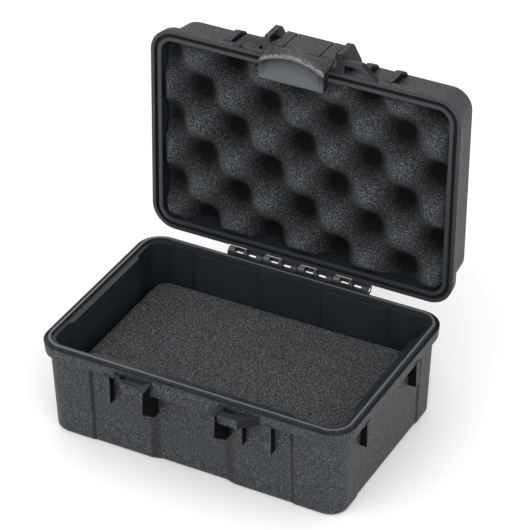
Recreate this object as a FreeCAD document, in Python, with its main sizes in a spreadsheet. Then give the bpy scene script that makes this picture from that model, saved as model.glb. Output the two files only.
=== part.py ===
import FreeCAD, Part
import math
import os
import Sketcher

# Small one-latch carry case: a tray and a lid joined by a pin hinge at the back and held shut by
# one latch at the front.  X runs along the case, -Y is the latch side, +Y the hinge side and the
# origin is the middle of the tray's underside.  The lid, the latch and what they carry are drawn
# in the closed position and then turned up about the hinge to the open position.

SIZES = {
    # rim flange, as half lengths, and the height of the joint between tray and lid
    "rim_x": 115.0,
    "rim_y": 77.5,
    "rim_corner": 17.5,
    "rim_draft": 0.8,
    "joint_height": 70.0,
    "base_flange": 8.0,
    "lid_flange": 7.0,
    # tray wall, outside, at the foot and just under the flange
    "foot_x": 108.6,
    "foot_y": 71.1,
    "foot_corner": 12.4,
    "neck_x": 110.8,
    "neck_y": 73.3,
    "neck_corner": 13.6,
    "wall": 2.9,
    "floor": 3.0,
    "foot_round": 2.4,
    # shallow recessed panels in the four walls, their half widths and the slope beside them
    "panel_x": 73.0,
    "panel_y": 43.0,
    "panel_depth": 1.3,
    "panel_foot": 0.8,
    "panel_inside": 2.6,
    "panel_floor": 2.0,
    "panel_slope": 3.0,
    "catch_zone": 24.0,
    "catch_depth": 2.0,
    "catch_slope": 7.0,
    "back_zone": 26.0,
    # sealing tongue on the tray and the groove for the seal in the lid, inset from the rim
    "rim_line_out": 1.3,
    "rim_line_in": 2.7,
    "rim_line_deep": 0.9,
    "tongue_out": 3.2,
    "tongue_in": 4.9,
    "tongue_high": 1.7,
    "mouth_inset": 8.0,
    "groove_out": 2.6,
    "groove_in": 5.3,
    "groove_deep": 4.2,
    "seal_gap": 0.15,
    "seal_high": 1.9,
    # lid shell
    "crown_x": 109.0,
    "crown_y": 70.7,
    "crown_corner": 14.6,
    "lid_neck_x": 110.6,
    "lid_neck_y": 73.1,
    "lid_depth": 34.0,
    "crown_round": 2.6,
    "crown_panel_x": 92.0,
    "crown_panel_y": 54.0,
    "crown_panel_corner": 9.0,
    "crown_panel_deep": 0.9,
    # latch guards on the tray and latch ears on the lid
    "ear_in": 24.5,
    "ear_thick": 4.0,
    "ear_front": 91.5,
    "guard_top": 1.8,
    "guard_front_low": 18.0,
    "guard_heel_y": 76.0,
    "guard_heel": 30.0,
    "ear_peak_y": 92.0,
    "ear_peak": 16.6,
    "ear_round_y": 90.9,
    "ear_round": 18.4,
    "ear_shoulder_y": 85.6,
    "ear_shoulder": 22.2,
    "ear_back_y": 73.5,
    "ear_back": 30.8,
    # catch ledge between the guards
    "ledge_top": 0.8,
    "ledge_out_y": 81.3,
    "ledge_break": 7.6,
    "ledge_under": 9.4,
    # padlock eyelets
    "eyelet_top": 2.4,
    "eyelet_thick": 6.4,
    "eyelet_front": 87.4,
    "eyelet_front_x": 42.8,
    "eyelet_end_x": 53.6,
    "slot_start_x": 29.6,
    "slot_end_x": 47.2,
    "slot_near_y": 77.7,
    "slot_far_y": 82.1,
    "relief_near_y": 83.5,
    "relief_far_y": 84.9,
    "relief_deep": 0.6,
    "lid_eyelet_thick": 4.0,
    "lid_slot_near_y": 78.0,
    "lid_slot_far_y": 83.8,
    "lid_slot_start_x": 30.2,
    "lid_slot_end_x": 48.2,
    "lid_slot_short_x": 40.5,
    # gusset ribs under the flanges
    "rib_thick": 5.0,
    "rib_low": 29.3,
    "rib_far_x": 57.2,
    "rib_near_x": 36.3,
    "side_rib_front_y": -45.5,
    "side_rib_back_y": 28.2,
    "side_rib_low": 26.0,
    "lid_rib_bend": 22.5,
    "lid_rib_slope": 28.3,
    "lid_rib_slope_y": 74.6,
    "lid_rib_high": 31.4,
    # hinge
    "hinge_y": 82.0,
    "hinge_above_joint": 0.4,
    "tray_barrel": 3.6,
    "lid_barrel": 3.9,
    "pin": 1.25,
    "pin_tight": 1.25,
    "pin_free": 1.3,
    "knuckle_pitch": 27.0,
    "knuckle_gap": 0.4,
    "window_long": 7.0,
    "window_end": 1.2,
    "window_start": 1.4,
    "window_front": 3.0,
    "window_back": 0.6,
    "relief": 0.4,
    "open_angle": 91.7,
    # latch
    "latch_pivot_y": 83.6,
    "latch_pivot": 15.0,
    "latch_half": 21.0,
    "latch_end_half": 23.9,
    "latch_barrel": 4.4,
    "latch_face_y": 88.0,
    "latch_thick": 2.8,
    "latch_low": 17.8,
    "flare_high": 7.0,
    "flare_low": 1.0,
    "hook_top": 10.3,
    "hook_in_y": 70.4,
    "latch_panel_half": 13.0,
    "latch_slit": 0.8,
    "latch_slit_deep": 1.2,
    "latch_slit_low": 3.4,
    # foam
    "pad_x": 100.5,
    "pad_y": 65.7,
    "pad_corner": 12.0,
    "pad_top": 41.8,
    "lid_pad_x": 103.9,
    "lid_pad_y": 66.4,
    "lid_pad_corner": 11.0,
    "lid_pad_face": -3.6,
}

doc = FreeCAD.newDocument("CarryCase")
sheet = doc.addObject("Spreadsheet::Sheet", "Sizes")
for row, (name, size) in enumerate(SIZES.items(), start=1):
    sheet.set("A%d" % row, name)
    sheet.set("B%d" % row, str(size))
    sheet.setAlias("B%d" % row, name)
doc.recompute()


def number(terms):
    """The value of a sum such as 'joint_height -base_flange'."""
    total = 0.0
    for term in terms.split():
        sign = -1.0 if term.startswith("-") else 1.0
        word = term.lstrip("-")
        total += sign * (SIZES[word] if word in SIZES else float(word))
    return total


def formula(terms):
    """The same sum as an expression that reads the spreadsheet."""
    parts = []
    for term in terms.split():
        word = term.lstrip("-")
        sign = " - " if term.startswith("-") else " + "
        parts.append(sign + ("Sizes." + word if word in SIZES else word))
    return "0" + "".join(parts)


def minus(terms):
    """The sum with every sign turned round."""
    turned = []
    for term in terms.split():
        turned.append(term[1:] if term.startswith("-") else "-" + term)
    return " ".join(turned)


def new_body(label):
    body = doc.addObject("PartDesign::Body", label)
    body.Label = label
    return body


def new_sketch(body, name, role, offset="0"):
    """A sketch on one of the body's own origin planes, moved along its normal."""
    sketch = body.newObject("Sketcher::SketchObject", name)
    for plane in body.Origin.OriginFeatures:
        if plane.Role == role:
            sketch.AttachmentSupport = [(plane, "")]
    sketch.MapMode = "FlatFace"
    sketch.setExpression("AttachmentOffset.Base.z", formula(offset))
    return sketch


def draw(sketch, outline):
    """A closed outline of (x, y, radius) corners in turn.  A radius makes the stretch from that
    point to the next an arc that bulges to the right of the way it is drawn."""
    points = [FreeCAD.Vector(number(x), number(y), 0) for x, y, radius in outline]
    first = sketch.GeometryCount
    count = len(points)
    for index, (x, y, radius) in enumerate(outline):
        start = points[index]
        end = points[(index + 1) % count]
        if radius is None:
            sketch.addGeometry(Part.LineSegment(start, end))
            continue
        size = number(radius)
        chord = end - start
        rise = math.sqrt(max(size ** 2 - chord.Length ** 2 / 4.0, 0.0))
        left = FreeCAD.Vector(-chord.y, chord.x, 0).normalize()
        centre = (start + end) * 0.5 + left * rise
        begin = math.atan2(start.y - centre.y, start.x - centre.x)
        finish = math.atan2(end.y - centre.y, end.x - centre.x)
        circle = Part.Circle(centre, FreeCAD.Vector(0, 0, 1), size)
        sketch.addGeometry(Part.ArcOfCircle(circle, begin, finish))
    for index, (x, y, radius) in enumerate(outline):
        here = first + index
        following = first + (index + 1) % count
        sketch.addConstraint(Sketcher.Constraint("Coincident", here, 2, following, 1))
        across = sketch.addConstraint(Sketcher.Constraint("DistanceX", here, 1, number(x)))
        sketch.setExpression("Constraints[%d]" % across, formula(x))
        up = sketch.addConstraint(Sketcher.Constraint("DistanceY", here, 1, number(y)))
        sketch.setExpression("Constraints[%d]" % up, formula(y))
        if radius is not None:
            bend = sketch.addConstraint(Sketcher.Constraint("Radius", here, number(radius)))
            sketch.setExpression("Constraints[%d]" % bend, formula(radius))


def rounded(half_x, half_y, corner):
    """A rectangle about the origin with round corners, drawn anticlockwise."""
    near_x = half_x + " " + minus(corner)
    near_y = half_y + " " + minus(corner)
    return [
        (minus(near_x), minus(half_y), None),
        (near_x, minus(half_y), corner),
        (half_x, minus(near_y), None),
        (half_x, near_y, corner),
        (near_x, half_y, None),
        (minus(near_x), half_y, corner),
        (minus(half_x), near_y, None),
        (minus(half_x), minus(near_y), corner),
    ]


def panelled(half_x, half_y, corner, depth, catch_depth="catch_depth"):
    """The same rectangle with a shallow recess along the middle of each side, deeper at the
    catch in the middle of the latch side and broken by a full-depth stretch behind the hinge."""
    slope_x = "panel_x panel_slope"
    slope_y = "panel_y panel_slope"
    catch = "catch_zone catch_slope"
    deep_y = half_y + " " + minus(depth)
    deep_x = half_x + " " + minus(depth)
    catch_y = deep_y + " " + minus(catch_depth)
    back = "back_zone -panel_slope"
    near_x = half_x + " " + minus(corner)
    near_y = half_y + " " + minus(corner)
    return [
        (minus(near_x), minus(half_y), None),
        (minus(slope_x), minus(half_y), None),
        ("-panel_x", minus(deep_y), None),
        (minus(catch), minus(deep_y), None),
        ("-catch_zone", minus(catch_y), None),
        ("catch_zone", minus(catch_y), None),
        (catch, minus(deep_y), None),
        ("panel_x", minus(deep_y), None),
        (slope_x, minus(half_y), None),
        (near_x, minus(half_y), corner),
        (half_x, minus(near_y), None),
        (half_x, minus(slope_y), None),
        (deep_x, "-panel_y", None),
        (deep_x, "panel_y", None),
        (half_x, slope_y, None),
        (half_x, near_y, corner),
        (near_x, half_y, None),
        (slope_x, half_y, None),
        ("panel_x", deep_y, None),
        ("back_zone", deep_y, None),
        (back, half_y, None),
        (minus(back), half_y, None),
        ("-back_zone", deep_y, None),
        ("-panel_x", deep_y, None),
        (minus(slope_x), half_y, None),
        (minus(near_x), half_y, corner),
        (minus(half_x), near_y, None),
        (minus(half_x), slope_y, None),
        (minus(deep_x), "panel_y", None),
        (minus(deep_x), "-panel_y", None),
        (minus(half_x), minus(slope_y), None),
        (minus(half_x), minus(near_y), corner),
    ]


def loft(body, name, kind, sections):
    """A ruled loft through level outlines, each given as (height, outline)."""
    sketches = []
    for index, (height, outline) in enumerate(sections):
        sketch = new_sketch(body, "%s_%d" % (name, index), "XY_Plane", height)
        draw(sketch, outline)
        sketches.append(sketch)
    feature = body.newObject("PartDesign::" + kind, name)
    feature.Profile = sketches[0]
    feature.Sections = sketches[1:]
    feature.Ruled = True
    doc.recompute()
    return feature


def pad(body, sketch, name, length, reverse=False, both=False):
    feature = body.newObject("PartDesign::Pad", name)
    feature.Profile = sketch
    feature.setExpression("Length", formula(length))
    feature.Reversed = reverse
    feature.Midplane = both
    doc.recompute()
    return feature


def pocket(body, sketch, name, length, reverse=False, both=False):
    """A pocket that must remove material."""
    before = body.Shape.Volume
    feature = body.newObject("PartDesign::Pocket", name)
    feature.Profile = sketch
    feature.setExpression("Length", formula(length))
    feature.Reversed = reverse
    feature.Midplane = both
    doc.recompute()
    if body.Shape.Volume > before - 0.01:
        raise RuntimeError(name + " cuts nothing")
    return feature


def mirrored(body, name, features, role):
    feature = body.newObject("PartDesign::Mirrored", name)
    feature.Originals = features
    for plane in body.Origin.OriginFeatures:
        if plane.Role == role:
            feature.MirrorPlane = (plane, [""])
    body.Tip = feature
    doc.recompute()
    return feature


def ring(body, name, height, outer_inset, inner_inset):
    """A sketch of the band between two insets from the rim's outer edge."""
    sketch = new_sketch(body, name, "XY_Plane", height)
    for inset in (outer_inset, inner_inset):
        corner = "rim_corner -" + inset
        draw(sketch, rounded("rim_x -" + inset, "rim_y -" + inset, corner))
    return sketch


def side_plate(body, name, start_x, thickness, outline, mirror=True):
    """An upright plate across X with a profile in Y and Z, and its twin on the other side."""
    sketch = new_sketch(body, name + "_profile", "YZ_Plane", start_x)
    draw(sketch, outline)
    plate = pad(body, sketch, name, thickness)
    if mirror:
        mirrored(body, name + "_pair", [plate], "YZ_Plane")
    return plate


def level(drop):
    """A height below the joint between tray and lid."""
    return "joint_height " + minus(drop)


def raised(rise):
    """A height above the joint between tray and lid."""
    return "joint_height " + rise


def base_shell():
    body = new_body("base_shell")
    under_flange = level("base_flange")
    half_round = "%.2f" % (SIZES["foot_round"] * 0.3)
    loft(body, "outside", "AdditiveLoft", [
        ("0", panelled("foot_x -foot_round", "foot_y -foot_round", "foot_corner -foot_round",
                       "panel_foot")),
        (half_round, panelled("foot_x -" + half_round, "foot_y -" + half_round, "foot_corner",
                              "panel_foot")),
        ("foot_round", panelled("foot_x", "foot_y", "foot_corner", "panel_foot")),
        (under_flange, panelled("neck_x", "neck_y", "neck_corner", "panel_depth")),
    ])
    loft(body, "flange", "AdditiveLoft", [
        (under_flange, rounded("rim_x -rim_draft", "rim_y -rim_draft", "rim_corner -rim_draft")),
        ("joint_height", rounded("rim_x", "rim_y", "rim_corner")),
    ])
    ribs(body, "front_rib", [
        ("-rim_y", level("base_flange -1"), None),
        ("-rim_y", level("rib_low -0.8"), None),
        ("-rim_y 0.8", level("rib_low"), None),
        ("-foot_y 3", level("rib_low"), None),
        ("-foot_y 3", level("base_flange -1"), None),
    ])
    side_ribs(body)
    ledge = [
        ("-neck_y 3", level("ledge_under"), None),
        ("-neck_y 3", level("ledge_top"), None),
        ("-rim_y", level("ledge_top"), None),
        ("-ledge_out_y", level("ledge_break"), None),
        ("-ledge_out_y", level("ledge_under"), None),
    ]
    sketch = new_sketch(body, "ledge_profile", "YZ_Plane")
    draw(sketch, ledge)
    pad(body, sketch, "catch_ledge", "ear_in ear_in", both=True)
    side_plate(body, "guard", "ear_in", "ear_thick", [
        ("-neck_y 4", level("guard_heel"), None),
        ("-neck_y 4", level("guard_top"), None),
        ("-ear_front 1", level("guard_top"), None),
        ("-ear_front", level("guard_front_low"), None),
        ("-guard_heel_y", level("guard_heel"), None),
    ])
    eyelet(body, level("eyelet_top"), "eyelet_thick", [
        ("slot_start_x", "-slot_far_y", None),
        ("slot_end_x", "-slot_far_y", None),
        ("slot_end_x", "-slot_near_y", None),
        ("slot_start_x", "-slot_near_y", None),
    ])
    for side in (1, -1):
        groove = new_sketch(body, "eyelet_relief_%s" % ("right" if side > 0 else "left"), "XY_Plane",
                            level("eyelet_top"))
        near_x = "slot_start_x 2" if side > 0 else "-slot_end_x 3"
        far_x = "slot_end_x -3" if side > 0 else "-slot_start_x -2"
        draw(groove, [
            (near_x, "-relief_far_y", None),
            (far_x, "-relief_far_y", None),
            (far_x, "-relief_near_y", None),
            (near_x, "-relief_near_y", None),
        ])
        pocket(body, groove, groove.Name + "_cut", "relief_deep")
    loft(body, "cavity", "SubtractiveLoft", [
        ("floor", panelled("foot_x -wall", "foot_y -wall", "foot_corner -wall", "panel_floor", "0.01")),
        ("joint_height 3", panelled("rim_x -mouth_inset", "rim_y -mouth_inset",
                                    "rim_corner -mouth_inset", "panel_inside", "0.01")),
    ])
    pocket(body, ring(body, "rim_line_profile", "joint_height", "rim_line_out", "rim_line_in"),
           "rim_line", "rim_line_deep")
    pad(body, ring(body, "tongue_profile", "joint_height", "tongue_out", "tongue_in"),
        "tongue", "tongue_high")
    knuckles(body, "tray_barrel", "pin_tight", level("4"), level("0.2"))
    return body


def ribs(body, name, outline):
    """Upright gusset ribs on the latch side, in two pairs."""
    for start in ("rib_far_x", "rib_near_x"):
        side_plate(body, name + start[3:-2], start, "rib_thick", outline)


def side_ribs(body):
    """Upright gusset ribs on the two short sides."""
    plates = []
    for name, start in (("side_rib_front", "side_rib_front_y"), ("side_rib_back", "side_rib_back_y")):
        sketch = new_sketch(body, name + "_profile", "XZ_Plane", minus(start))
        draw(sketch, [
            ("neck_x -3", level("side_rib_low"), None),
            ("rim_x -0.8", level("side_rib_low"), None),
            ("rim_x", level("side_rib_low -0.8"), None),
            ("rim_x", level("base_flange -1"), None),
            ("neck_x -3", level("base_flange -1"), None),
        ])
        plates.append(pad(body, sketch, name, "rib_thick", reverse=True))
        mirrored(body, name + "_pair", [plates[-1]], "YZ_Plane")


def eyelet(body, top, thickness, slot):
    """A flat eyelet plate outside each ear, with a slot for a padlock's shackle."""
    sketch = new_sketch(body, "eyelet_outline", "XY_Plane", top)
    draw(sketch, [
        ("ear_in 1", "-neck_y 2", None),
        ("ear_in 1", "-eyelet_front", None),
        ("eyelet_front_x", "-eyelet_front", None),
        ("eyelet_end_x", "-rim_y", None),
        ("eyelet_end_x", "-neck_y 2", None),
    ])
    draw(sketch, slot)
    plate = pad(body, sketch, "eyelet", thickness, reverse=True)
    mirrored(body, "eyelet_pair", [plate], "YZ_Plane")


def box_cut(body, name, start, length, low_y, high_y, low_z, high_z):
    """A rectangular cut that runs along X."""
    sketch = new_sketch(body, name + "_profile", "YZ_Plane", start)
    draw(sketch, [
        (low_y, low_z, None),
        (high_y, low_z, None),
        (high_y, high_z, None),
        (low_y, high_z, None),
    ])
    pocket(body, sketch, name, length, reverse=True)


def knuckles(body, barrel, bore, web_low, web_high):
    """Four hinge knuckles of a shell.  The tray's come first in each pitch, the lid's second."""
    axis_height = raised("hinge_above_joint")
    in_lid = barrel == "lid_barrel"
    pitch = SIZES["knuckle_pitch"]
    gap = SIZES["knuckle_gap"]
    long = "%.2f" % (pitch / 2 - gap)
    for place in range(4):
        first = (place - 2) * pitch
        own = first + (pitch / 2 if in_lid else 0.0)
        other = first + (0.0 if in_lid else pitch / 2)
        start = "%.2f" % (own + gap / 2)
        web = new_sketch(body, "web_profile_%d" % place, "YZ_Plane", start)
        draw(web, [
            ("rim_y -2.5", web_low, None),
            ("hinge_y", web_low, None),
            ("hinge_y", web_high, None),
            ("rim_y -2.5", web_high, None),
        ])
        pad(body, web, "web_%d" % place, long)
        drum = new_sketch(body, "barrel_profile_%d" % place, "YZ_Plane", start)
        circle(drum, "hinge_y", axis_height, barrel)
        pad(body, drum, "barrel_%d" % place, long)
        hole = new_sketch(body, "bore_profile_%d" % place, "YZ_Plane", start)
        circle(hole, "hinge_y", axis_height, bore)
        pocket(body, hole, "bore_%d" % place, long, reverse=True)
        if in_lid:
            # open towards the rim when shut, so the pin shows when the lid is up
            box_cut(body, "window_%d" % place, start + " window_start", "window_long",
                    "hinge_y -lid_barrel -0.2", "hinge_y 0.1",
                    axis_height + " -lid_barrel -0.2", axis_height + " -0.1")
            # room in the flange for the tray's knuckle
            box_cut(body, "relief_%d" % place, "%.2f" % (other - gap / 2), "%.2f" % (pitch / 2 + gap),
                    "rim_y " + minus("relief"), "rim_y 1", "joint_height -1", raised("lid_flange 1"))
        else:
            box_cut(body, "window_%d" % place, start + " " + long + " -window_end -window_long",
                    "window_long", "hinge_y -window_front", "hinge_y window_back",
                    axis_height + " 0.3", axis_height + " tray_barrel 1")


def circle(sketch, x, y, radius):
    centre = FreeCAD.Vector(number(x), number(y), 0)
    index = sketch.addGeometry(Part.Circle(centre, FreeCAD.Vector(0, 0, 1), number(radius)))
    across = sketch.addConstraint(Sketcher.Constraint("DistanceX", index, 3, centre.x))
    sketch.setExpression("Constraints[%d]" % across, formula(x))
    up = sketch.addConstraint(Sketcher.Constraint("DistanceY", index, 3, centre.y))
    sketch.setExpression("Constraints[%d]" % up, formula(y))
    size = sketch.addConstraint(Sketcher.Constraint("Radius", index, number(radius)))
    sketch.setExpression("Constraints[%d]" % size, formula(radius))


def lid_shell():
    body = new_body("lid_shell")
    flange_top = raised("lid_flange")
    crown = raised("lid_depth")
    third = "%.2f" % (SIZES["crown_round"] * 0.3)
    loft(body, "flange", "AdditiveLoft", [
        ("joint_height", rounded("rim_x", "rim_y", "rim_corner")),
        (flange_top, rounded("rim_x -rim_draft", "rim_y -rim_draft", "rim_corner -rim_draft")),
    ])
    loft(body, "outside", "AdditiveLoft", [
        (flange_top, rounded("lid_neck_x", "lid_neck_y", "crown_corner")),
        (crown + " -crown_round", rounded("crown_x", "crown_y", "crown_corner")),
        (crown + " -" + third, rounded("crown_x -" + third, "crown_y -" + third, "crown_corner")),
        (crown, rounded("crown_x -crown_round", "crown_y -crown_round",
                        "crown_corner -crown_round")),
    ])
    ribs(body, "lid_rib", [
        ("-rim_y 0.2", raised("lid_rib_bend"), None),
        ("-rim_y 0.2", raised("lid_flange -1"), None),
        ("-crown_y 3", raised("lid_flange -1"), None),
        ("-crown_y 3", raised("lid_rib_high"), None),
        ("-crown_y", raised("lid_rib_high"), None),
        ("-lid_rib_slope_y", raised("lid_rib_slope"), None),
    ])
    side_plate(body, "latch_ear", "ear_in", "ear_thick", [
        ("-ear_back_y", raised("0.4"), None),
        ("-crown_y 3", raised("0.4"), None),
        ("-crown_y 3", raised("ear_back"), None),
        ("-ear_back_y", raised("ear_back"), None),
        ("-ear_shoulder_y", raised("ear_shoulder"), None),
        ("-ear_round_y", raised("ear_round"), None),
        ("-ear_peak_y", raised("ear_peak"), None),
        ("-ear_front", raised("0.4"), None),
    ][::-1])
    eyelet(body, raised("lid_eyelet_thick 0.4"), "lid_eyelet_thick", [
        ("lid_slot_start_x", "-lid_slot_far_y", None),
        ("lid_slot_short_x", "-lid_slot_far_y", None),
        ("lid_slot_end_x", "-lid_slot_near_y", None),
        ("lid_slot_start_x", "-lid_slot_near_y", None),
    ])
    loft(body, "cavity", "SubtractiveLoft", [
        ("joint_height", rounded("rim_x -mouth_inset", "rim_y -mouth_inset",
                                 "rim_corner -mouth_inset")),
        (crown + " -wall", rounded("crown_x -wall", "crown_y -wall", "crown_corner -wall")),
    ])
    pocket(body, ring(body, "seal_groove_profile", "joint_height", "groove_out", "groove_in"),
           "seal_groove", "groove_deep", reverse=True)
    panel = new_sketch(body, "crown_panel_outline", "XY_Plane", crown)
    draw(panel, rounded("crown_panel_x", "crown_panel_y", "crown_panel_corner"))
    pocket(body, panel, "crown_panel", "crown_panel_deep")
    bore = new_sketch(body, "latch_bore_profile", "YZ_Plane")
    circle(bore, "-latch_pivot_y", raised("latch_pivot"), "pin_tight")
    pocket(body, bore, "latch_bore", "ear_in ear_in ear_thick ear_thick 1", both=True)
    knuckles(body, "lid_barrel", "pin_free", raised("0.3"), raised("4.2"))
    return body


def shield(face_y, arch, bow_half, half, corner_drop, inner_y):
    """A level outline with an arched outer edge, cut corners, straight sides and a straight back."""
    reach = number(bow_half)
    bow = number(arch) - math.sqrt(number(arch) ** 2 - reach ** 2)
    shoulder = minus(face_y) + " %.4f" % bow
    side = shoulder + " " + corner_drop
    corner = "%.4f" % (math.hypot(number(half) - reach, number(corner_drop)) * 1.1)
    return [
        (minus(bow_half), shoulder, arch),
        (bow_half, shoulder, corner),
        (half, side, None),
        (half, minus(inner_y), None),
        (minus(half), minus(inner_y), None),
        (minus(half), side, corner),
    ]


def latch_lever():
    """A plate with a barrel at its top, flaring to an arched finger lip with a hook behind it."""
    body = new_body("latch_lever")
    pivot = raised("latch_pivot")
    inner_y = "latch_face_y -latch_thick"
    plate = new_sketch(body, "plate_outline", "XZ_Plane", inner_y)
    draw(plate, [
        ("-latch_end_half", level("flare_low"), None),
        ("latch_end_half", level("flare_low"), None),
        ("latch_half", raised("flare_high"), None),
        ("latch_half", pivot + " latch_barrel", None),
        ("-latch_half", pivot + " latch_barrel", None),
        ("-latch_half", raised("flare_high"), None),
    ])
    pad(body, plate, "plate", "latch_thick")
    web = new_sketch(body, "web_profile", "YZ_Plane")
    draw(web, [
        ("-latch_face_y 1", pivot, None),
        ("-latch_pivot_y", pivot, None),
        ("-latch_pivot_y", pivot + " latch_barrel", None),
        ("-latch_face_y 1", pivot + " latch_barrel", None),
    ])
    pad(body, web, "web", "latch_half latch_half", both=True)
    barrel = new_sketch(body, "barrel_profile", "YZ_Plane")
    circle(barrel, "-latch_pivot_y", pivot, "latch_barrel")
    pad(body, barrel, "barrel", "latch_half latch_half", both=True)
    loft(body, "flare", "AdditiveLoft", [
        (level("hook_top"), shield("latch_face_y 0.8", "60", "19.5", "latch_end_half", "2.0",
                                   "latch_face_y -5.8")),
        (level("flare_low"), shield("latch_face_y", "400", "19.5", "latch_end_half", "0.5", inner_y)),
    ])
    loft(body, "hook", "AdditiveLoft", [
        (level("latch_low"), shield("latch_face_y 2.2", "42", "19", "latch_end_half -0.6", "3.8",
                                    "hook_in_y")),
        (level("latch_low -1.1"), shield("latch_face_y 3", "42", "19.5", "latch_end_half", "3.6",
                                         "hook_in_y")),
        (level("hook_top"), shield("latch_face_y 0.8", "60", "19.5", "latch_end_half", "2.0",
                                   "hook_in_y")),
    ])
    loft(body, "finger_scoop", "SubtractiveLoft", [
        (level("latch_low 0.2"), shield("latch_face_y 0.5", "41", "17.6", "latch_end_half -2.2",
                                        "3.9", "hook_in_y 0.8")),
        (level("latch_low -4.6"), shield("latch_face_y -0.6", "41", "14", "17.5", "2.6",
                                         "latch_face_y -6.4")),
    ])
    slits = new_sketch(body, "slit_outline", "XZ_Plane", "latch_face_y 1")
    draw(slits, [
        ("-latch_panel_half -latch_slit", level("latch_slit_low"), None),
        ("-latch_panel_half", level("latch_slit_low"), None),
        ("-latch_panel_half", pivot + " latch_barrel 1", None),
        ("-latch_panel_half -latch_slit", pivot + " latch_barrel 1", None),
    ])
    draw(slits, [
        ("5", level("latch_slit_low"), None),
        ("latch_panel_half latch_slit", level("latch_slit_low"), None),
        ("latch_panel_half latch_slit", pivot + " latch_barrel 1", None),
        ("latch_panel_half", pivot + " latch_barrel 1", None),
        ("latch_panel_half", level("latch_slit_low") + " latch_slit", None),
        ("5", level("latch_slit_low") + " latch_slit", None),
    ])
    pocket(body, slits, "slits", "latch_slit_deep 1")
    bore = new_sketch(body, "bore_profile", "YZ_Plane")
    circle(bore, "-latch_pivot_y", pivot, "pin_free")
    pocket(body, bore, "bore", "latch_half latch_half 2", both=True)
    return body


def pin(label, y, z, length):
    """A plain steel pin along X."""
    rod = doc.addObject("Part::Cylinder", label)
    rod.Label = label
    rod.setExpression("Radius", "Sizes.pin")
    rod.setExpression("Height", formula(length))
    rod.Placement = FreeCAD.Placement(
        FreeCAD.Vector(-number(length) / 2.0, number(y), number(z)),
        FreeCAD.Rotation(FreeCAD.Vector(0, 1, 0), 90))
    return rod


def lid_seal():
    body = new_body("lid_seal")
    sketch = ring(body, "seal_profile", raised("groove_deep -seal_gap"), "groove_out", "groove_in")
    pad(body, sketch, "seal", "seal_high", reverse=True)
    return body


def foam_block(label, half_x, half_y, corner, bottom, height):
    body = new_body(label)
    sketch = new_sketch(body, label + "_outline", "XY_Plane", bottom)
    draw(sketch, rounded(half_x, half_y, corner))
    pad(body, sketch, label + "_block", height)
    return body


def raise_lid(part):
    """Turn a piece from the closed position up about the hinge to the open position."""
    pivot = FreeCAD.Vector(0, number("hinge_y"), number(raised("hinge_above_joint")))
    turn = FreeCAD.Rotation(FreeCAD.Vector(1, 0, 0), -SIZES["open_angle"])
    swing = FreeCAD.Placement(pivot - turn.multVec(pivot), turn)
    part.Placement = swing.multiply(part.Placement)


tray_parts = [
    base_shell(),
    pin("hinge_pin", "hinge_y", raised("hinge_above_joint"), "knuckle_pitch knuckle_pitch "
        "knuckle_pitch knuckle_pitch"),
    foam_block("base_foam", "pad_x", "pad_y", "pad_corner", "floor", "pad_top -floor"),
]
lid_parts = [
    lid_shell(),
    lid_seal(),
    foam_block("lid_foam", "lid_pad_x", "lid_pad_y", "lid_pad_corner", raised("lid_pad_face"),
               "lid_depth -wall -lid_pad_face -0.1"),
    latch_lever(),
    pin("latch_pin", "-latch_pivot_y", raised("latch_pivot"), "ear_in ear_in ear_thick ear_thick"),
]
doc.recompute()
for part in lid_parts:
    raise_lid(part)
doc.recompute()

for thing in doc.Objects:
    if "Invalid" in thing.State or "Error" in thing.State:
        raise RuntimeError("%s is %s" % (thing.Name, thing.State))
for part in tray_parts + lid_parts:
    if part.Shape.isNull() or not part.Shape.isValid():
        raise RuntimeError(part.Label + " has no sound shape")

os.makedirs("parts", exist_ok=True)
for part in tray_parts + lid_parts:
    part.Shape.exportStep(os.path.join("parts", part.Label + ".step"))
    box = part.Shape.BoundBox
    print("%-12s solids %d volume %.1f cm3 box %s" % (
        part.Label, len(part.Shape.Solids), part.Shape.Volume / 1000.0, box))
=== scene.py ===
import bpy
import bmesh
import math
from mathutils import Matrix, Vector, noise


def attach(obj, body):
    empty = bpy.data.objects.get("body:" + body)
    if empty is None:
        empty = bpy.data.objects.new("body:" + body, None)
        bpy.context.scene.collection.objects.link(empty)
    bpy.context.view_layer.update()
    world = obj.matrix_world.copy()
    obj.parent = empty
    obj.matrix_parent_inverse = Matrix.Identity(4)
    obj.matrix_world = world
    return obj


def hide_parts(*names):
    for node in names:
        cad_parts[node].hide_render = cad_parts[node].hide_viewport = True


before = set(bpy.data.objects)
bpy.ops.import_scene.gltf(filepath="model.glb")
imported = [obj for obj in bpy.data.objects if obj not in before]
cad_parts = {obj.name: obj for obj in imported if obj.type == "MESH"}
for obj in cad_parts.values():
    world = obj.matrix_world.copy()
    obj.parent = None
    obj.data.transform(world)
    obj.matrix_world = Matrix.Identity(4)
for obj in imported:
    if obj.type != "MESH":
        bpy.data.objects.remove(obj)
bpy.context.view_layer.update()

MM = 0.001
JOINT = 70 * MM                     # height of the joint between tray and lid
HINGE = Vector((0.0, 0.082, 0.0704))
OPEN = math.radians(-91.7)          # the lid's turn from shut to the open rest


def swing():
    """The move that takes a point of the shut lid to the open one."""
    return Matrix.Translation(HINGE) @ Matrix.Rotation(OPEN, 4, "X") @ Matrix.Translation(-HINGE)


# ---------------------------------------------------------------- materials

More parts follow.
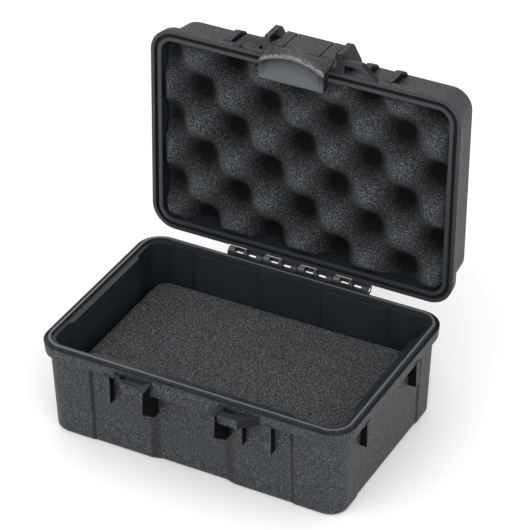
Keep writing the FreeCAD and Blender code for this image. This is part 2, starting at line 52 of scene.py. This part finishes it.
class Recipe:
    """One material and short ways to add nodes to it."""

    def __init__(self, name, roughness=0.5, specular=0.3, metallic=0.0):
        self.mat = bpy.data.materials.new(name)
        self.mat.use_nodes = True
        self.tree = self.mat.node_tree
        self.shader = self.tree.nodes["Principled BSDF"]
        self.shader.inputs["Roughness"].default_value = roughness
        self.shader.inputs["Specular IOR Level"].default_value = specular
        self.shader.inputs["Metallic"].default_value = metallic
        self.coords = self.tree.nodes.new("ShaderNodeTexCoord")
        self.place = self.coords.outputs["Object"]

    def feed(self, socket, value):
        if isinstance(value, (int, float)):
            socket.default_value = value
        elif isinstance(value, tuple):
            socket.default_value = (*value, 1.0) if len(socket.default_value) == 4 else value
        else:
            self.tree.links.new(value, socket)

    def math(self, kind, *values):
        node = self.tree.nodes.new("ShaderNodeMath")
        node.operation = kind
        for socket, value in zip(node.inputs, values):
            self.feed(socket, value)
        return node.outputs[0]

    def chain(self, kind, first, *others):
        """One sum, product or largest value of any number of values."""
        for other in others:
            first = self.math(kind, first, other)
        return first

    def both(self, *masks):
        """1 where every mask is 1."""
        return self.chain("MULTIPLY", *masks)

    def either(self, *masks):
        """1 where any mask is 1."""
        return self.chain("MAXIMUM", *masks)

    def outside(self, mask):
        return self.math("SUBTRACT", 1.0, mask)

    def size_of(self, value):
        return self.math("ABSOLUTE", value)

    def near(self, value, middle, limits):
        """1 close to middle, fading over the two distances in limits."""
        return self.step(self.size_of(self.math("SUBTRACT", value, middle)), *limits)

    def step(self, value, start, end):
        """0 before start and 1 past end, straight between."""
        node = self.tree.nodes.new("ShaderNodeMapRange")
        node.inputs["From Min"].default_value = start
        node.inputs["From Max"].default_value = end
        self.feed(node.inputs["Value"], value)
        return node.outputs["Result"]

    def parts(self, vector):
        node = self.tree.nodes.new("ShaderNodeSeparateXYZ")
        self.feed(node.inputs[0], vector)
        return node.outputs[0], node.outputs[1], node.outputs[2]

    def turned(self, vector, shift, angle):
        """vector moved by shift, then turned about X."""
        moved = self.tree.nodes.new("ShaderNodeVectorMath")
        moved.operation = "ADD"
        self.feed(moved.inputs[0], vector)
        moved.inputs[1].default_value = shift
        node = self.tree.nodes.new("ShaderNodeVectorRotate")
        node.rotation_type = "X_AXIS"
        node.inputs["Angle"].default_value = angle
        self.feed(node.inputs["Vector"], moved.outputs[0])
        return node.outputs[0]

    def shut_place(self):
        """Place with the lid shut, from the hinge's axis."""
        return self.turned(self.place, tuple(-HINGE), -OPEN)

    def shut_normal(self):
        return self.turned(self.coords.outputs["Normal"], (0.0, 0.0, 0.0), -OPEN)

    def speck(self, scale, detail=2.0, rough=0.6):
        node = self.tree.nodes.new("ShaderNodeTexNoise")
        node.inputs["Scale"].default_value = scale
        node.inputs["Detail"].default_value = detail
        node.inputs["Roughness"].default_value = rough
        self.feed(node.inputs["Vector"], self.place)
        return node.outputs["Fac"]

    def cells(self, scale):
        node = self.tree.nodes.new("ShaderNodeTexVoronoi")
        node.inputs["Scale"].default_value = scale
        self.feed(node.inputs["Vector"], self.place)
        return node.outputs["Distance"]

    def ramp(self, value, *stops):
        node = self.tree.nodes.new("ShaderNodeValToRGB")
        while len(node.color_ramp.elements) < len(stops):
            node.color_ramp.elements.new(0.5)
        for element, (at, colour) in zip(node.color_ramp.elements, stops):
            element.position = at
            element.color = (*colour, 1.0)
        self.feed(node.inputs["Fac"], value)
        return node.outputs["Color"]

    def mix(self, amount, first, second):
        node = self.tree.nodes.new("ShaderNodeMix")
        node.data_type = "RGBA"
        self.feed(node.inputs["Factor"], amount)
        self.feed(node.inputs[6], first)
        self.feed(node.inputs[7], second)
        return node.outputs[2]

    def bump(self, height, strength, distance, normal=None):
        """The shader's normal, raised by height."""
        node = self.tree.nodes.new("ShaderNodeBump")
        self.feed(node.inputs["Strength"], strength)
        node.inputs["Distance"].default_value = distance
        self.feed(node.inputs["Height"], height)
        if normal is not None:
            self.feed(node.inputs["Normal"], normal)
        self.feed(self.shader.inputs["Normal"], node.outputs["Normal"])

    def soft_edge(self, radius):
        """The normal eased over edges, as moulded edges are."""
        node = self.tree.nodes.new("ShaderNodeBevel")
        node.samples = 6
        node.inputs["Radius"].default_value = radius
        return node.outputs["Normal"]

    def colour(self, value):
        self.feed(self.shader.inputs["Base Color"], value)


# colours of the plastic
SHADE_BLACK = (0.0045, 0.0048, 0.0055)      # smooth sides of ribs, guards and ears, painted near black as shade and dark reflection
SMOOTH = (0.0125, 0.0155, 0.0190)     # smooth moulded faces inside
SMOOTH_RANGE = 1.35                   # how much lighter the lightest of those faces are
TONGUE_HIGHLIGHT = (0.110, 0.115, 0.122)          # painted highlight along the crest of the sealing tongue
LID_FLAT = (0.030, 0.033, 0.037)      # the lid's face at the joint
CLOUD = (0.022, 0.026, 0.030)         # broad worn patches in the grain
CLOUD_AMOUNT = 0.40
SHADE_AMOUNT = 0.75
SHELL_GRAIN = ((0.36, (0.002, 0.003, 0.004)), (0.50, (0.019, 0.022, 0.026)), (0.64, (0.098, 0.106, 0.114)))
LATCH_GRAIN = ((0.36, (0.002, 0.002, 0.003)), (0.50, (0.018, 0.021, 0.025)), (0.64, (0.082, 0.088, 0.094)))
# painted highlight along the rounded crest of the latch's lip
LIP_HIGHLIGHT = ((0.40, (0.030, 0.034, 0.038)), (0.62, (0.260, 0.265, 0.272)))
# smooth scoop below the lip, with painted shade darkest next to the lip's overhang
SCOOP_SHADE = ((0.0, (0.012, 0.014, 0.016)), (0.50, (0.056, 0.060, 0.065)), (1.0, (0.078, 0.084, 0.090)))
FINE = (900.0, 3.0, 0.75)             # scale, detail and roughness of the moulded grain
BROAD = (38.0, 2.0, 0.5)
GRAIN_HIGH = 0.25 * MM
ROUNDING = 0.5 * MM

# Regions of the shells.  Each pair says where a mask starts and where it is full, in metres from the
# middle of the case.
SIDEWAYS = (0.12, 0.85)               # share of the normal that makes a face a rib's side
END_WALL = (0.0965, 0.0945)
LONG_WALL = (0.0560, 0.0545)
CAVITY_X, CAVITY_Y = (0.1085, 0.1080), (0.0712, 0.0708)
SLOT_NEAR, SLOT_FAR = (0.0776, 0.0777), (0.0841, 0.0840)    # padlock slots, across the case
SLOT_START, SLOT_END = (0.0286, 0.0290), (0.0490, 0.0486)   # and along it
PANEL_X, PANEL_Y = 0.0745, 0.0445     # middle of the steps beside the walls' recessed panels
CATCH_X = 0.0275                      # middle of the slopes beside the deeper catch recess
LINE = (1.1 * MM, 0.5 * MM)           # half width of the shade along a step
SLOPE = (4.5 * MM, 1.0 * MM)          # and along a slope
LONG_OUTSIDE, END_OUTSIDE, FRONT_OUTSIDE = (0.0700, 0.0704), (0.1070, 0.1074), (-0.0690, -0.0694)
BELOW_FLANGE = (0.0622, 0.0615)


def shell_finish(name, lid):
    """Grained plastic outside, smooth and darker inside, on the joint and on the sides of the ribs, where
    the near black is painted shade and dark reflection; painted shade along the panels' steps, and a painted
    highlight on the tray's tongue crest.
    """
    made = Recipe(name)
    x, y, z = made.parts(made.shut_place() if lid else made.place)
    nx, ny, nz = made.parts(made.shut_normal() if lid else made.coords.outputs["Normal"])
    if lid:
        y = made.math("ADD", y, HINGE.y)
        z = made.math("ADD", z, HINGE.z)
    wide, deep = made.size_of(x), made.size_of(y)
    across, along = made.size_of(nx), made.size_of(ny)
    # faces that look back towards the middle
    inward = made.math("ADD", made.math("MULTIPLY", nx, made.math("SIGN", x)),
                       made.math("MULTIPLY", ny, made.math("SIGN", y)))
    inside = made.step(inward, -0.05, -0.25)
    # sides of ribs, guards, ears and eyelets, painted near black as shade and dark reflection
    rib_x = made.both(made.step(across, *SIDEWAYS), made.step(wide, *END_WALL))
    rib_y = made.both(made.step(along, *SIDEWAYS), made.step(deep, *LONG_WALL))
    cavity = made.both(made.step(deep, *CAVITY_Y), made.step(wide, *CAVITY_X), inside)
    black = made.both(made.either(rib_x, rib_y), made.outside(cavity))
    # level faces at the joint and inside
    joint = made.step(made.math("MULTIPLY", nz, -1.0 if lid else 1.0), 0.55, 0.8)
    slot = made.both(made.step(deep, *SLOT_NEAR), made.step(deep, *SLOT_FAR), made.step(along, 0.5, 0.8),
                     made.step(wide, *SLOT_END), made.step(wide, *SLOT_START))
    # painted shade along the steps beside the recessed panels of the walls, and at half strength along the
    # slopes beside the catch recess
    step_x = made.both(made.near(wide, PANEL_X, LINE), made.step(deep, *LONG_OUTSIDE))
    step_y = made.both(made.near(deep, PANEL_Y, LINE), made.step(wide, *END_OUTSIDE))
    catch = made.both(made.near(wide, CATCH_X, SLOPE), made.step(y, *FRONT_OUTSIDE))
    steps = made.either(step_x, step_y, made.math("MULTIPLY", catch, 0.5))
    shaded = made.both(steps, made.step(z, *BELOW_FLANGE))
    smooth = made.either(inside, joint, black, slot)
    grainy = made.outside(smooth)
    fine, broad = made.speck(*FINE), made.speck(*BROAD)
    cloud = made.math("MULTIPLY", made.step(broad, 0.35, 0.70), CLOUD_AMOUNT)
    grain = made.mix(cloud, made.ramp(fine, *SHELL_GRAIN), CLOUD)
    inner = made.mix(made.step(broad, 0.3, 0.7), SMOOTH, tuple(value * SMOOTH_RANGE for value in SMOOTH))
    # painted shade: the sides of ribs, guards, ears and eyelets go near black
    colour = made.mix(black, made.mix(smooth, grain, inner), SHADE_BLACK)
    # painted shade along those steps and slopes, below the flange
    colour = made.mix(made.math("MULTIPLY", shaded, SHADE_AMOUNT), colour, SHADE_BLACK)
    if lid:
        flat = made.both(joint, made.step(z, JOINT + 0.6 * MM, JOINT + 0.2 * MM))
        made.colour(made.mix(flat, colour, LID_FLAT))
    else:
        # painted highlight on the sealing tongue's crest
        crest = made.both(joint, made.step(z, JOINT + 1.2 * MM, JOINT + 1.6 * MM))
        made.colour(made.mix(crest, colour, TONGUE_HIGHLIGHT))
    made.feed(made.shader.inputs["Roughness"], made.math("ADD", 0.34, made.math("MULTIPLY", grainy, 0.22)))
    made.feed(made.shader.inputs["Specular IOR Level"],
              made.math("SUBTRACT", 0.30, made.math("MULTIPLY", black, 0.24)))
    made.bump(fine, made.math("MULTIPLY", grainy, 0.55), GRAIN_HIGH, made.soft_edge(ROUNDING))
    return made.mat


LIP_ARCH = 0.084                      # twice the radius of the arch of the latch's lip
LIP_TIP = 0.172                       # from the hinge to the top of that arch
LIP_LEVEL = (-16.0 * MM, -17.0 * MM)  # below the hinge, where the lip flares out
LIP_EDGE = (3.0 * MM, 2.4 * MM)       # how far back from the arch the lip ends
LIP_LINE = (1.9 * MM, 0.9 * MM)       # how far back from the arch the painted highlight reaches
# how far back from the arch the scoop's painted shade fades out
SCOOP_REACH = (3.0 * MM, 13.0 * MM)


def latch_finish():
    """Grained like the shells, with a painted highlight along the crest of the finger lip, a smooth scoop
    with painted shade under the lip, and sides painted dark as shade.
    """
    made = Recipe("latch_plastic", roughness=0.5)
    x, y, z = made.parts(made.shut_place())
    nx, _, nz = made.parts(made.shut_normal())
    # distance from the arched crest of the lip, seen square to the tip
    arch = made.math("SUBTRACT", made.math("MULTIPLY", made.math("MULTIPLY", x, x), 1.0 / LIP_ARCH), LIP_TIP)
    back = made.math("SUBTRACT", y, arch)
    on_lip = made.step(back, *LIP_EDGE)
    smooth = made.both(made.step(nz, -0.25, -0.5), made.outside(on_lip))
    # painted shade: faces turned sideways go most of the way to near black, as shade and dark reflection
    sides = made.math("MULTIPLY", made.step(made.size_of(nx), 0.6, 0.9), 0.85)
    fine = made.speck(*FINE)
    colour = made.mix(sides, made.ramp(fine, *LATCH_GRAIN), SHADE_BLACK)
    # painted highlight along the lip's crest
    pale = made.both(made.step(z, *LIP_LEVEL), on_lip, made.step(back, *LIP_LINE))
    colour = made.mix(pale, colour, made.ramp(fine, *LIP_HIGHLIGHT))
    # painted shade in the scoop, darkest under the lip
    made.colour(made.mix(smooth, colour, made.ramp(made.step(back, *SCOOP_REACH), *SCOOP_SHADE)))
    rough = made.math("SUBTRACT", 0.55, made.math("MULTIPLY", smooth, 0.50))
    made.bump(fine, rough, GRAIN_HIGH, made.soft_edge(ROUNDING))
    return made.mat


FOAM_SCALE = 1500.0                   # of the foam's struts and pores


def foam_finish(name, dark, middle, light, hollow=None):
    """Open-cell foam: fine specks of light struts and dark pores, with painted shade darker down in the
    hollows.
    hollow is the level where the painted shade starts, the level where it is full, and its amount."""
    made = Recipe(name, roughness=0.95, specular=0.08)
    fine = made.speck(FOAM_SCALE, 2.5, 0.75)
    pores = made.cells(FOAM_SCALE * 0.9)
    height = made.math("ADD", fine, made.math("MULTIPLY", pores, 0.5))
    colour = made.ramp(height, (0.50, dark), (0.74, middle), (1.0, light))
    if hollow:
        # painted shade, darker with depth down in the hollows
        start, full, amount = hollow
        level = made.parts(made.shut_place())[2]
        shade = made.step(level, start * MM - HINGE.z, full * MM - HINGE.z)
        colour = made.mix(made.math("MULTIPLY", shade, amount), colour, dark)
    made.colour(colour)
    made.bump(height, 0.8, 0.5 * MM)
    return made.mat


def steel_finish(name, colour, roughness):
    """Drawn steel, with fine darker marks."""
    made = Recipe(name, roughness=roughness, metallic=1.0)
    drawn = made.speck(700.0, 3.0, 0.6)
    made.colour(made.ramp(drawn, (0.3, tuple(value * 0.82 for value in colour)), (0.7, colour)))
    made.bump(drawn, 0.12, 0.05 * MM)
    return made.mat


def rubber_finish():
    made = Recipe("seal_rubber", roughness=0.62, specular=0.25)
    fine = made.speck(900.0, 2.0, 0.6)
    made.colour(made.ramp(fine, (0.3, (0.0035, 0.0035, 0.004)), (0.7, (0.009, 0.009, 0.010))))
    made.bump(fine, 0.3, 0.1 * MM)
    return made.mat


finishes = {
    "base_shell": shell_finish("tray_plastic", lid=False),
    "lid_shell": shell_finish("lid_plastic", lid=True),
    "latch_lever": latch_finish(),
    "hinge_pin": steel_finish("hinge_steel", (0.90, 0.90, 0.89), 0.28),
    "latch_pin": steel_finish("latch_pin_black_steel", (0.035, 0.035, 0.037), 0.45),
    "lid_seal": rubber_finish(),
}
for name, mat in finishes.items():
    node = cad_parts[name]
    node.data.materials.clear()
    node.data.materials.append(mat)

# ---------------------------------------------------------------- foam

CELL = 1.3                          # spacing of the points of a foam face, mm
SIDE_ROWS = 12                      # rows of faces down a pad's sides


def into_corner(x, y, half_x, half_y, corner):
    """A point of the plain rectangle moved inside the rectangle with round corners."""
    over_x, over_y = abs(x) - (half_x - corner), abs(y) - (half_y - corner)
    if over_x <= 0 or over_y <= 0:
        return x, y
    reach = max(over_x, over_y) / math.hypot(over_x, over_y)
    return (math.copysign(half_x - corner + over_x * reach, x),
            math.copysign(half_y - corner + over_y * reach, y))


def foam_mesh(name, half_x, half_y, corner, face, back, turn):
    """A closed pad: a fine face given by face(x, y), sides down to the level back, and a flat back."""
    across, along = round(2 * half_x / CELL), round(2 * half_y / CELL)
    mesh = bmesh.new()
    rows = []
    for j in range(along + 1):
        row = []
        for i in range(across + 1):
            x, y = into_corner(half_x * (2 * i / across - 1), half_y * (2 * j / along - 1),
                               half_x, half_y, corner)
            row.append(mesh.verts.new((x, y, face(x, y))))
        rows.append(row)
    for first, second in zip(rows, rows[1:]):
        for i in range(across):
            mesh.faces.new((first[i], first[i + 1], second[i + 1], second[i]))
    edge = (rows[0] + [row[-1] for row in rows[1:]] + rows[-1][-2::-1] + [row[0] for row in rows[-2:0:-1]])
    levels = [edge]
    for k in range(1, SIDE_ROWS + 1):
        share = k / SIDE_ROWS
        ring = []
        for vert in edge:
            z = vert.co.z + (back - vert.co.z) * share
            # slightly uneven sides, never beyond the pad's outline
            wobble = noise.noise(Vector((vert.co.x, vert.co.y, z)) * 0.7) * min(1.0, share * 4)
            shrink = min(1 - 0.0016 * wobble, 1.0)
            ring.append(mesh.verts.new((vert.co.x * shrink, vert.co.y * shrink, z)))
        levels.append(ring)
    for first, second in zip(levels, levels[1:]):
        for k in range(len(edge)):
            after = (k + 1) % len(edge)
            mesh.faces.new((first[k], second[k], second[after], first[after]))
    mesh.faces.new(list(reversed(levels[-1])))
    bmesh.ops.recalc_face_normals(mesh, faces=mesh.faces)
    bmesh.ops.transform(mesh, matrix=turn @ Matrix.Diagonal((MM, MM, MM, 1.0)), verts=mesh.verts)
    data = bpy.data.meshes.new(name)
    mesh.to_mesh(data)
    mesh.free()
    for polygon in data.polygons:
        polygon.use_smooth = True
    item = bpy.data.objects.new(name, data)
    bpy.context.collection.objects.link(item)
    return item


def uneven(x, y, scale, layer):
    """Smooth noise between about -1 and 1 over the face of a pad."""
    return noise.noise(Vector((x * scale, y * scale, layer)))


# the lid's foam, in mm and with the lid shut
PITCH = 50.4                        # of the wave in the convoluted foam
DEPTH = 10.4                        # half the height from its peaks to its pits
MIDDLE = 75.4                       # mean level of the waved face
FIRST_PIT = (-53.8, -10.4)          # one of its pits
SKEW = 0.038                        # turn of the pattern in the lid
FOAM_X, FOAM_Y, FOAM_CORNER = 105.9, 68.8, 10.0     # half length, half width and corner
FOAM_BACK = 100.9                   # level of its back, against the lid
CROWD, CROWD_REACH = 0.70, 6.0      # how much shallower the pits are at the lid's left wall, and how far in
MOUTH_X, MOUTH_Y, MOUTH_CORNER = 104.6, 67.1, 7.5   # the tray's mouth, half lengths and corner
RIM_LEVEL = 73.3                    # just clear of the tray's sealing tongue
SHOULDER = 1.7                      # slope of the foam inwards from there


def waved(x, y):
    """Level of the convoluted face, lid shut.  Peaks reach down towards the tray."""
    u = (x - FIRST_PIT[0]) - SKEW * (y - FIRST_PIT[1])
    v = (y - FIRST_PIT[1]) + SKEW * (x - FIRST_PIT[0])
    wave = math.cos(2 * math.pi * u / PITCH) * math.cos(2 * math.pi * v / PITCH)
    rough = 0.22 * uneven(x, y, 0.8, 3.0) + 0.3 * uneven(x, y, 0.09, 9.0)
    # crowded up against the lid's left wall, so the edge pits are shallower there
    crowd = CROWD * math.exp(-(x + FOAM_X) / CROWD_REACH)
    level = MIDDLE + DEPTH * (wave - crowd * max(wave, 0.0)) + rough
    # eased back where the tray's rim closes on it
    out_x, out_y = abs(x) - (MOUTH_X - MOUTH_CORNER), abs(y) - (MOUTH_Y - MOUTH_CORNER)
    beyond = math.hypot(max(out_x, 0.0), max(out_y, 0.0)) + min(max(out_x, out_y), 0.0) - MOUTH_CORNER
    return max(level, RIM_LEVEL + SHOULDER * min(beyond, 0.0))


# the tray's pad, in mm
PAD_X, PAD_Y, PAD_CORNER = 100.3, 65.5, 12.0        # half length, half width and corner
PAD_TOP, PAD_LIMIT, PAD_UNDER = 41.2, 41.78, 3.1    # mean level of its top, highest point, underside


def level_face(x, y):
    """The cut top of the tray's pad: nearly flat, a little lower at its edges."""
    inset = min(PAD_X - abs(x), PAD_Y - abs(y))
    soft = -0.7 * math.exp(-inset / 1.2)
    swell = 0.35 * uneven(x, y, 0.03, 5.0)
    rough = 0.20 * uneven(x, y, 0.9, 1.0)
    return min(PAD_TOP + swell + soft + rough, PAD_LIMIT)


lid_foam = foam_mesh("lid_foam_waved", FOAM_X, FOAM_Y, FOAM_CORNER, waved, FOAM_BACK, swing())
# the lid's foam gets painted shade in its hollows
lid_foam.data.materials.append(foam_finish("foam_lid_grey", (0.002, 0.002, 0.003), (0.027, 0.030, 0.033),
                                           (0.16, 0.17, 0.18), hollow=(68.0, 83.0, 0.94)))
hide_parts("lid_foam")
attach(lid_foam, "lid")

base_foam = foam_mesh("base_foam_pad", PAD_X, PAD_Y, PAD_CORNER, level_face, PAD_UNDER, Matrix.Identity(4))
base_foam.data.materials.append(foam_finish("foam_tray_grey", (0.003, 0.003, 0.004), (0.030, 0.032, 0.035),
                                            (0.20, 0.21, 0.22)))
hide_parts("base_foam")
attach(base_foam, "base")

# ---------------------------------------------------------------- stage

floor = bpy.data.meshes.new("floor")
work = bmesh.new()
bmesh.ops.create_grid(work, x_segments=1, y_segments=1, size=6.0)
work.to_mesh(floor)
work.free()
floor_object = bpy.data.objects.new("floor", floor)
bpy.context.collection.objects.link(floor_object)
pale = Recipe("floor_pale", roughness=0.8, specular=0.1)
pale.colour((0.97, 0.97, 0.97))
floor.materials.append(pale.mat)

world = bpy.data.worlds.new("studio")
bpy.context.scene.world = world
world.use_nodes = True
world.node_tree.nodes["Background"].inputs["Color"].default_value = (1.0, 1.0, 1.0, 1.0)
world.node_tree.nodes["Background"].inputs["Strength"].default_value = 1.06


def softbox(name, place, target, size, watts):
    """A square soft light at place that points at target."""
    lamp = bpy.data.lights.new(name, "AREA")
    lamp.shape = "SQUARE"
    lamp.size = size
    lamp.energy = watts
    lamp_object = bpy.data.objects.new(name, lamp)
    lamp_object.location = place
    lamp_object.rotation_euler = (Vector(target) - Vector(place)).to_track_quat("-Z", "Y").to_euler()
    bpy.context.collection.objects.link(lamp_object)


softbox("key", (0.95, -1.05, 1.0), (0.0, 0.05, 0.12), size=1.3, watts=8.5)
softbox("fill", (-0.6, -1.2, 1.3), (0.0, 0.0, 0.1), size=1.4, watts=6.0)

# ---------------------------------------------------------------- camera

azimuth, elevation, roll = math.radians(28.02), math.radians(33.53), math.radians(-0.27)
toward = Vector((math.sin(azimuth) * math.cos(elevation),
                 -math.cos(azimuth) * math.cos(elevation), math.sin(elevation)))
right = Vector((math.cos(azimuth), math.sin(azimuth), 0.0))
above = toward.cross(right)
camera = bpy.data.cameras.new("camera")
camera.lens = 190.0
camera.sensor_width = 36.0
camera.clip_end = 20.0
camera_object = bpy.data.objects.new("camera", camera)
turned = Matrix((right, above, toward)).transposed() @ Matrix.Rotation(roll, 3, "Z")
camera_object.matrix_world = Matrix.Translation((0.7304, -1.3400, 1.0636 + JOINT)) @ turned.to_4x4()
bpy.context.collection.objects.link(camera_object)
bpy.context.scene.camera = camera_object

bpy.context.scene.view_settings.view_transform = "Standard"
